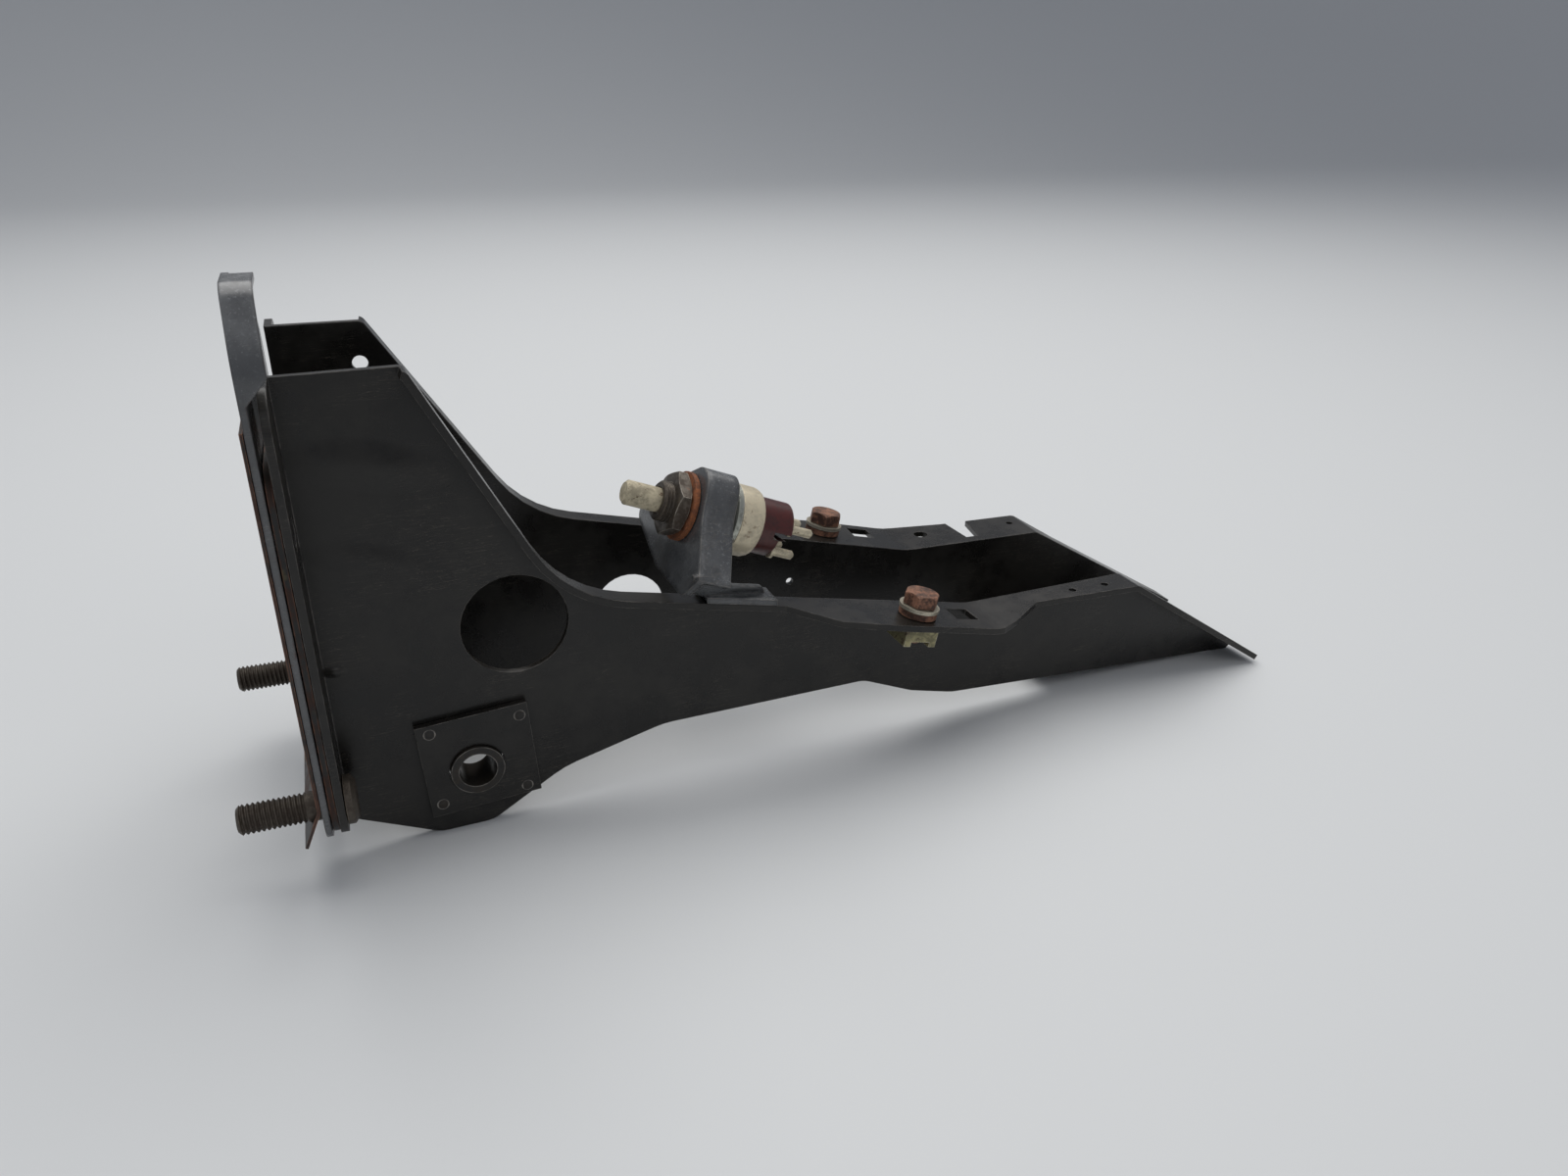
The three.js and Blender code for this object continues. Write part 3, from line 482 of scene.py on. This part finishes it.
def make_finish(
    name, main, second, dust, patch=(60.0, 0.40, 0.62), rough=(0.4, 0.55), metal=(0.0, 0.0),
    wear=None, scratch=0.0, dust_and_sheen=0.2, grain=(900.0, 0.01, 0.0), stain=None, gloss=0.5, edge_round=0.0,
    painted_sheen=None,
):
    """One finish: two mottled colours, an optional stain, worn edges and scratches over a fine grain. What
    faces up carries dust, or in its place the painted sheen colour, a painted highlight standing in for the
    overhead light's reflection."""
    material = bpy.data.materials.new(name)
    material.use_nodes = True
    material.node_tree.nodes.clear()
    w = Wiring(material.node_tree)
    place = w.add("ShaderNodeTexCoord").outputs["Object"]
    cloud = w.group("Mottle", Vector=place, Scale=patch[0], Low=patch[1], High=patch[2])
    tint = w.blend(cloud, main, second)
    roughness = w.lerp(cloud, rough[0], rough[1])
    metallic = w.lerp(cloud, metal[0], metal[1])
    if stain:
        stain_colour, scale, low, high = stain
        mark = w.group("Mottle", Vector=place, Scale=scale, Low=low, High=high)
        tint = w.blend(mark, tint, stain_colour)
        roughness = w.lerp(mark, roughness, 0.8)
        metallic = w.lerp(mark, metallic, 0.0)
    if wear:
        wear_colour, width, amount = wear
        edge = w.group("Edge wear", Vector=place, Width=width, Amount=amount)
        tint = w.blend(edge, tint, wear_colour)
        roughness = w.lerp(edge, roughness, 0.42)
        metallic = w.lerp(edge, metallic, 0.55)
    if scratch:
        lines = w.group("Scratches", Vector=place, Amount=scratch)
        tint = w.blend(lines, tint, dust)
        roughness = w.lerp(lines, roughness, 0.5)
    # Up-facing mask: real dust, or where painted_sheen is given, a painted highlight on faces that turn up to
    # the overhead light
    dust_and_sheen_mask = w.group("Dust", Vector=place, Amount=dust_and_sheen)
    tint = w.blend(dust_and_sheen_mask, tint, painted_sheen or dust)
    roughness = w.lerp(dust_and_sheen_mask, roughness, 0.4 if painted_sheen else 0.85)
    metallic = w.lerp(dust_and_sheen_mask, metallic, 0.0)
    height = w.group("Grain", Vector=place, Scale=grain[0], Fine=grain[1], Ripple=grain[2])
    bump = w.add("ShaderNodeBump", {"Height": height, "Strength": 1.0, "Distance": MM})
    if edge_round:
        soft = w.add("ShaderNodeBevel", {"Radius": edge_round}, samples=6)
        w.feed(bump.inputs["Normal"], soft.outputs[0])
    shader = w.add(
        "ShaderNodeBsdfPrincipled",
        {"Base Color": tint, "Roughness": roughness, "Metallic": metallic, "Normal": bump.outputs[0],
         "Specular IOR Level": gloss},
    )
    sink = w.add("ShaderNodeOutputMaterial")
    w.tree.links.new(shader.outputs[0], sink.inputs["Surface"])
    return material


def shade(tint, share):
    """The colour with each channel scaled by the share."""
    return tuple(channel * share for channel in tint)


def make_finishes():
    """Every finish of the bracket, by name."""
    paint, steel, switch = settings("bracket_paint"), settings("bracket_steel"), settings("bracket_switch")
    dust = paint.dust
    edge = (paint.bare, paint.wear_width)
    thin_edge = (paint.bare, paint.wear_width * 0.7)
    rust = (steel.rust_dark, steel.rust_light)
    finishes = {
        "panel_enamel": dict(
            main=paint.black, second=paint.faded, patch=(32, 0.42, 0.6), rough=(0.25, 0.36), gloss=0.36,
            wear=(*thin_edge, 0.5), scratch=0.25, dust_and_sheen=0.07, grain=(1300, 0.010, 0.5), edge_round=0.6 * MM,
        ),
        "swollen_enamel": dict(
            main=paint.black, second=paint.faded, patch=(32, 0.42, 0.6), rough=(0.25, 0.36), gloss=0.36,
            scratch=0.25, dust_and_sheen=0.07, grain=(1300, 0.010, 0.5),
        ),
        # Its painted sheen lays a light grey painted highlight on up-facing faces, in place of dust
        "slate_enamel": dict(
            main=paint.slate, second=shade(paint.slate, 0.6), patch=(90, 0.46, 0.64),
            rough=(0.24, 0.34), wear=(*edge, 0.9), scratch=0.6, dust_and_sheen=0.8, grain=(1500, 0.010, 0.4),
            painted_sheen=paint.sky_sheen, edge_round=2.6 * MM, gloss=0.8,
        ),
        # Its painted sheen lays a light grey painted highlight on up-facing faces, in place of dust
        "plate_enamel": dict(
            main=paint.slate, second=shade(paint.slate, 0.75), patch=(45, 0.48, 0.64),
            rough=(0.25, 0.36), wear=(rust[0], paint.wear_width * 1.2, 0.6), scratch=0.3, dust_and_sheen=0.8,
            painted_sheen=paint.sky_sheen, gloss=0.8,
            grain=(1200, 0.010, 0.3), stain=(rust[0], 70, 0.60, 0.68), edge_round=1.0 * MM,
        ),
        "backing_enamel": dict(
            main=paint.black, second=rust[0], patch=(60, 0.46, 0.6), rough=(0.45, 0.7),
            wear=(rust[1], paint.wear_width * 1.2, 0.6), dust_and_sheen=0.18, grain=(800, 0.03, 0.2),
            stain=(shade(steel.yellow_zinc, 0.35), 50, 0.56, 0.66),
        ),
        "bush_steel": dict(
            main=shade(steel.oxide, 0.45), second=paint.black, patch=(160, 0.4, 0.6),
            rough=(0.34, 0.5), metal=(0.6, 0.1), wear=(*edge, 0.8), dust_and_sheen=0.1, grain=(1600, 0.012, 0.0),
        ),
        "thread_steel": dict(
            main=steel.oxide, second=(0.035, 0.024, 0.016), patch=(330, 0.4, 0.6), rough=(0.40, 0.66),
            metal=(0.75, 0.3), wear=((0.26, 0.21, 0.15), 0.3 * MM, 0.7), dust_and_sheen=0.2, grain=(1800, 0.03, 0.0),
        ),
        "rusted_steel": dict(
            main=rust[0], second=rust[1], patch=(300, 0.40, 0.62), rough=(0.6, 0.82), metal=(0.2, 0.0),
            wear=((0.40, 0.22, 0.14), 0.45 * MM, 0.5), dust_and_sheen=0.3, grain=(1500, 0.08, 0.1),
        ),
        "rust_washer": dict(
            main=(0.11, 0.040, 0.018), second=(0.34, 0.115, 0.042), patch=(360, 0.38, 0.62),
            rough=(0.7, 0.9), dust_and_sheen=0.12, grain=(1500, 0.08, 0.1),
        ),
        "zinc_plate": dict(
            main=steel.zinc, second=shade(steel.zinc, 0.6), patch=(260, 0.42, 0.62),
            rough=(0.36, 0.55), metal=(0.75, 0.4), wear=((0.75, 0.7, 0.58), 0.4 * MM, 0.8), dust_and_sheen=0.25,
            grain=(1700, 0.02, 0.0), stain=(rust[1], 230, 0.6, 0.7),
        ),
        "yellow_zinc_plate": dict(
            main=steel.yellow_zinc, second=shade(steel.yellow_zinc, 0.5), patch=(220, 0.42, 0.6),
            rough=(0.40, 0.6), metal=(0.65, 0.35), wear=((0.62, 0.58, 0.44), 0.4 * MM, 0.9), dust_and_sheen=0.2,
            grain=(1700, 0.02, 0.0), stain=(rust[0], 260, 0.54, 0.64),
        ),
        "nut_steel": dict(
            main=(0.17, 0.15, 0.125), second=(0.060, 0.044, 0.032), patch=(250, 0.38, 0.6), rough=(0.26, 0.5),
            metal=(0.85, 0.5), wear=((0.5, 0.46, 0.39), 0.5 * MM, 0.9), dust_and_sheen=0.15, grain=(1700, 0.02, 0.0),
            stain=(rust[1], 280, 0.6, 0.7),
        ),
        "cream_moulding": dict(
            main=switch.plunger, second=shade(switch.plunger, 0.55), patch=(210, 0.42, 0.62),
            rough=(0.5, 0.68), dust_and_sheen=0.0, grain=(1500, 0.03, 0.0), stain=((0.10, 0.06, 0.03), 480, 0.56, 0.62),
        ),
        "plated_steel": dict(
            main=switch.plated, second=shade(switch.plated, 0.5), patch=(200, 0.42, 0.62),
            rough=(0.3, 0.5), metal=(0.85, 0.6), wear=((0.75, 0.74, 0.68), 0.4 * MM, 0.9), dust_and_sheen=0.15,
            grain=(1700, 0.012, 0.0), stain=((0.09, 0.055, 0.03), 240, 0.56, 0.66),
        ),
        "can_lacquer": dict(
            main=switch.shell, second=shade(switch.shell, 0.7), patch=(150, 0.44, 0.64),
            rough=(0.32, 0.48), metal=(0.3, 0.2), dust_and_sheen=0.1, grain=(1500, 0.012, 0.05),
            stain=((0.16, 0.095, 0.05), 170, 0.53, 0.66), edge_round=0.6 * MM,
        ),
        "bakelite": dict(
            main=switch.bakelite, second=shade(switch.bakelite, 0.55), patch=(170, 0.42, 0.62),
            rough=(0.28, 0.42), dust_and_sheen=0.03, grain=(1600, 0.012, 0.1), edge_round=0.4 * MM,
        ),
        "tinned_brass": dict(
            main=switch.pin, second=shade(switch.pin, 0.6), patch=(400, 0.45, 0.65),
            rough=(0.35, 0.55), metal=(0.5, 0.3), dust_and_sheen=0.1, grain=(1700, 0.015, 0.0),
            stain=((0.14, 0.08, 0.04), 420, 0.56, 0.66),
        ),
        "spring_wire": dict(
            main=(0.30, 0.29, 0.27), second=(0.12, 0.11, 0.10), patch=(400, 0.42, 0.62), rough=(0.3, 0.45),
            metal=(0.9, 0.8), dust_and_sheen=0.05, grain=(1800, 0.01, 0.0),
        ),
    }
    for name, values in finishes.items():
        FINISHES[name] = make_finish(name, dust=dust, **values)


def finish(name):
    """The named finish."""
    return FINISHES[name]


# ---- operators ---------------------------------------------------------------
class BRACKET_OT_finishes(bpy.types.Operator):
    """Build the shared shader groups and every finish"""

    bl_idname = "bracket.finishes"
    bl_label = "Finishes"

    def execute(self, context):
        make_groups()
        make_finishes()
        return {"FINISHED"}


class BRACKET_OT_panels(bpy.types.Operator):
    """Finish the two pressed side panels, the tray at the nose and the bearing plates"""

    bl_idname = "bracket.panels"
    bl_label = "Pressed panels"

    def execute(self, context):
        for side in ("near", "far"):
            refined(f"{side}_side_panel", finish("panel_enamel"))
            refined(f"{side}_bearing_plate", finish("panel_enamel"))
            refined(f"{side}_pivot_bush", finish("bush_steel"))
        refined("nose_tie", finish("panel_enamel"))
        return {"FINISHED"}


class BRACKET_OT_marks(bpy.types.Operator):
    """Press the swellings into the near web and set the weld marks"""

    bl_idname = "bracket.marks"
    bl_label = "Pressed swellings and welds"

    def execute(self, context):
        swellings = []
        for x, z, long, wide, lift, turn in (
            (26, 112, 42, 15, 1.0, 0.25), (24, 86, 38, 13, 0.8, 0.35), (9.5, 57.5, 7, 4, 0.8, 0.1),
        ):
            mesh = pillow("swelling", (long * MM, wide * MM), lift * MM)
            mesh.transform(web_place("near", x, z, turn=turn))
            swellings.append(mesh)
        self.place("near_web_swellings", swellings, "swollen_enamel", "black_paint")
        for side in ("near", "far"):
            spots = []
            for dx, dz in ((-12.5, 11.5), (12.3, 12), (12.5, -11.8), (-11.5, -12)):
                spot = pillow("spot", (3.4 * MM, 3.4 * MM), 0.45 * MM, rows=14, around=20)
                spot.transform(web_place(side, BEARING_X + dx, BEARING_Z + dz, proud=BEARING_PROUD))
                spots.append(spot)
            self.place(f"{side}_spot_welds", spots, "bush_steel", "dark_steel")
        return {"FINISHED"}

    def place(self, name, meshes, look, slot):
        """Shows the meshes as one piece that rides on the bracket."""
        piece = show(name, settle(joined(name, meshes), math.radians(80)), finish(look))
        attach(piece, "bracket")


class BRACKET_OT_mounting(bpy.types.Operator):
    """Finish the plates that bolt to the bulkhead"""

    bl_idname = "bracket.mounting"
    bl_label = "Mounting plates"

    def execute(self, context):
        refined("mounting_plate", finish("plate_enamel"), edge=0.6 * MM)
        refined("doubler_plate", finish("backing_enamel"))
        refined("backing_plate", finish("backing_enamel"))
        return {"FINISHED"}


class BRACKET_OT_studs(bpy.types.Operator):
    """Cut the thread of the two studs"""

    bl_idname = "bracket.studs"
    bl_label = "Threaded studs"

    def execute(self, context):
        steel = settings("bracket_steel")
        for side in ("near", "far"):
            node = f"{side}_stud"
            low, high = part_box(node)
            head = (high[1] - low[1]) / 2
            seat = high[0] - STUD_HEAD_THICK
            tip = low[0]
            profile = [
                (tip, 0), (tip, STUD_RADIUS - STUD_CHAMFER), (tip + STUD_CHAMFER, STUD_RADIUS),
                (seat, STUD_RADIUS), (seat, head), (seat + STUD_HEAD_STRAIGHT, head),
                (high[0], head - STUD_HEAD_TAPER), (high[0], 0),
            ]
            thread = (tip, seat - STUD_PLAIN, steel.stud_pitch, steel.stud_depth)
            mesh = threaded_turning(f"{node}_thread", profile, STUD_RADIUS, thread, around=40)
            mesh.transform(Matrix.Translation((0, (low[1] + high[1]) / 2, (low[2] + high[2]) / 2)))
            piece = show(f"{node}_thread", settle(mesh, math.radians(70)), finish("thread_steel"))
            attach(piece, BODY_OF[node])
            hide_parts(node)
        return {"FINISHED"}


class BRACKET_OT_fasteners(bpy.types.Operator):
    """Finish the two pedal-box bolts with their washers and cage nuts"""

    bl_idname = "bracket.fasteners"
    bl_label = "Bolts, washers and cage nuts"

    def execute(self, context):
        looks = {
            "bolt": ("rusted_steel", "rusty_steel"),
            "flat_washer": ("zinc_plate", "zinc_steel"),
            "spring_washer": ("rusted_steel", "rusty_steel"),
            "cage_nut": ("yellow_zinc_plate", "yellow_zinc"),
        }
        for side in ("near", "far"):
            for part, (look, slot) in looks.items():
                refined(f"{side}_{part}", finish(look))
        return {"FINISHED"}


class BRACKET_OT_lamp_switch(bpy.types.Operator):
    """Cut the neck's thread and finish the lamp switch, its nuts and its holder"""

    bl_idname = "bracket.lamp_switch"
    bl_label = "Lamp switch"

    def execute(self, context):
        self.cut_neck()
        looks = {
            "switch_holder": ("slate_enamel", "slate_paint"),
            "front_nut": ("nut_steel", "dark_steel"),
            "rear_nut": ("nut_steel", "dark_steel"),
            "nut_washer": ("rust_washer", "rusty_steel"),
            "switch_plunger": ("cream_moulding", "cream_plastic"),
            "switch_can": ("can_lacquer", "cream_metal"),
            "switch_base": ("bakelite", "bakelite"),
            "contact_bridge": ("tinned_brass", "brass"),
            "return_spring": ("spring_wire", "spring_steel"),
        }
        for side in ("near", "far"):
            for level in ("upper", "lower"):
                looks[f"{side}_{level}_terminal"] = ("tinned_brass", "brass")
        for node, (look, slot) in looks.items():
            refined(node, finish(look), edge=0.7 * MM if node == "switch_holder" else 0.0)
        return {"FINISHED"}

    def cut_neck(self):
        """The housing as a bored turning: threaded neck, then the disc that crimps the can."""
        switch = settings("bracket_switch")
        start, end, lip = NECK_START, NECK_END, CRIMP_LIP
        profile = [
            (start, NECK_BORE), (start, NECK_RADIUS - lip), (start + lip, NECK_RADIUS), (end, NECK_RADIUS),
            (end, CRIMP_RADIUS - lip), (end + lip, CRIMP_RADIUS), (CRIMP_BACK, CRIMP_RADIUS),
            (CRIMP_BACK, NECK_BORE), (start, NECK_BORE),
        ]
        thread = (start, end - MM, switch.neck_pitch, switch.neck_depth)
        mesh = threaded_turning("switch_neck", profile, NECK_RADIUS, thread, around=64, closed=True)
        settle(mesh, math.radians(60))
        piece = show("switch_neck", mesh, finish("thread_steel"))
        mesh.materials.append(finish("plated_steel"))
        centres = np.empty(len(mesh.polygons) * 3)
        mesh.polygons.foreach_get("center", centres)
        disc = (centres.reshape(-1, 3)[:, 0] > end - 0.01 * MM).astype(np.int32)
        mesh.polygons.foreach_set("material_index", disc)
        mesh.transform(switch_frame())
        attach(piece, BODY_OF["switch_housing"])
        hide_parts("switch_housing")


class BRACKET_OT_stage(bpy.types.Operator):
    """Lay the floor, hang the lights and set the camera"""

    bl_idname = "bracket.stage"
    bl_label = "Stage"

    def execute(self, context):
        stage = settings("bracket_stage")
        self.lay_floor(stage)
        self.light()
        self.set_camera(stage)
        return {"FINISHED"}

    def lay_floor(self, stage):
        """A wide sheet whose far edge sweeps up as a quarter circle."""
        across = np.linspace(-4, 4, 2)
        back, rise = 1.6, 1.2
        turn = np.linspace(0, np.pi / 2, 24)
        run = np.concatenate([[-3.0], back + rise * np.sin(turn)])
        climb = np.concatenate([[0.0], rise * (1 - np.cos(turn))]) + CAD_LOW[2] - 0.02 * MM
        points = np.stack(
            [across[None, :] + 0 * run[:, None], run[:, None] + 0 * across[None, :],
             climb[:, None] + 0 * across[None, :]], axis=-1
        )
        rows = len(run)
        mesh = bpy.data.meshes.new("floor")
        first = np.arange(rows - 1) * 2
        faces = np.stack([first, first + 1, first + 3, first + 2], axis=-1)
        mesh.from_pydata(points.reshape(-1, 3).tolist(), [], faces.tolist())
        mesh.polygons.foreach_set("use_smooth", np.ones(len(mesh.polygons), dtype=bool))
        material = bpy.data.materials.new("floor")
        material.use_nodes = True
        shader = material.node_tree.nodes["Principled BSDF"]
        shader.inputs["Base Color"].default_value = (*stage.floor, 1)
        shader.inputs["Roughness"].default_value = 0.55
        floor = show("floor", mesh, material)
        floor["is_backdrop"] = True

    def light(self):
        """Soft boxes overhead, to the left and in front, under a pale sky."""
        world = bpy.data.worlds.new("pale sky")
        world.use_nodes = True
        sky = world.node_tree.nodes["Background"].inputs
        sky["Color"].default_value = (0.86, 0.90, 1.0, 1)
        sky["Strength"].default_value = 0.30
        bpy.context.scene.world = world
        bpy.context.scene.view_settings.view_transform = "Standard"
        for name, energy, size, place, tint in (
            ("overhead box", 17.0, 1.6, (0.15, 0.45, 1.25), (1.0, 0.98, 0.95)),
            ("left box", 1.6, 0.8, (-1.1, -0.3, 0.9), (0.95, 0.97, 1.0)),
            ("front box", 2.4, 0.9, (0.35, -1.2, 1.1), (1.0, 0.98, 0.96)),
        ):
            lamp = bpy.data.lights.new(name, "AREA")
            lamp.energy, lamp.size, lamp.color = energy, size, tint
            holder = bpy.data.objects.new(name, lamp)
            holder.location = place
            holder.rotation_euler = (-Vector(place)).to_track_quat("-Z", "Y").to_euler()
            bpy.context.scene.collection.objects.link(holder)

    def set_camera(self, stage):
        """Looks from the eye to the target, level but for the roll."""
        camera = bpy.data.cameras.new("camera")
        camera.lens, camera.sensor_width = stage.lens, 36
        camera.clip_start = 0.01
        holder = bpy.data.objects.new("camera", camera)
        eye, target = Vector(stage.eye), Vector(stage.target)
        turn = (target - eye).to_track_quat("-Z", "Y").to_matrix() @ Matrix.Rotation(-stage.roll, 3, "Z")
        holder.matrix_world = Matrix.Translation(eye) @ turn.to_4x4()
        bpy.context.scene.collection.objects.link(holder)
        bpy.context.scene.camera = holder


OPERATORS = (
    BRACKET_OT_finishes,
    BRACKET_OT_panels,
    BRACKET_OT_marks,
    BRACKET_OT_mounting,
    BRACKET_OT_studs,
    BRACKET_OT_fasteners,
    BRACKET_OT_lamp_switch,
    BRACKET_OT_stage,
)
GROUPS = {
    "bracket_paint": PaintSettings,
    "bracket_steel": SteelSettings,
    "bracket_switch": SwitchSettings,
    "bracket_stage": StageSettings,
}


class BRACKET_PT_sidebar(bpy.types.Panel):
    """Lists the bracket's settings and its building steps"""

    bl_label = "Pedal bracket"
    bl_idname = "BRACKET_PT_sidebar"
    bl_space_type = "VIEW_3D"
    bl_region_type = "UI"
    bl_category = "Bracket"

    def draw(self, context):
        for name, group in GROUPS.items():
            box = self.layout.box()
            for key in group.__annotations__:
                box.prop(getattr(context.scene, name), key)
        for operator in OPERATORS:
            self.layout.operator(operator.bl_idname)


def register():
    """Registers the classes and hangs the settings on the scene."""
    for cls in (*GROUPS.values(), *OPERATORS, BRACKET_PT_sidebar):
        bpy.utils.register_class(cls)
    for name, group in GROUPS.items():
        setattr(bpy.types.Scene, name, PointerProperty(type=group))


def unregister():
    """Takes the settings and classes away again."""
    for name in GROUPS:
        delattr(bpy.types.Scene, name)
    for cls in reversed((*GROUPS.values(), *OPERATORS, BRACKET_PT_sidebar)):
        bpy.utils.unregister_class(cls)


def main():
    """Builds everything in order."""
    register()
    bpy.ops.bracket.finishes()
    bpy.ops.bracket.panels()
    bpy.ops.bracket.marks()
    bpy.ops.bracket.mounting()
    bpy.ops.bracket.studs()
    bpy.ops.bracket.fasteners()
    bpy.ops.bracket.lamp_switch()
    bpy.ops.bracket.stage()
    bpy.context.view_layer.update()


if __name__ == "__main__":
    main()
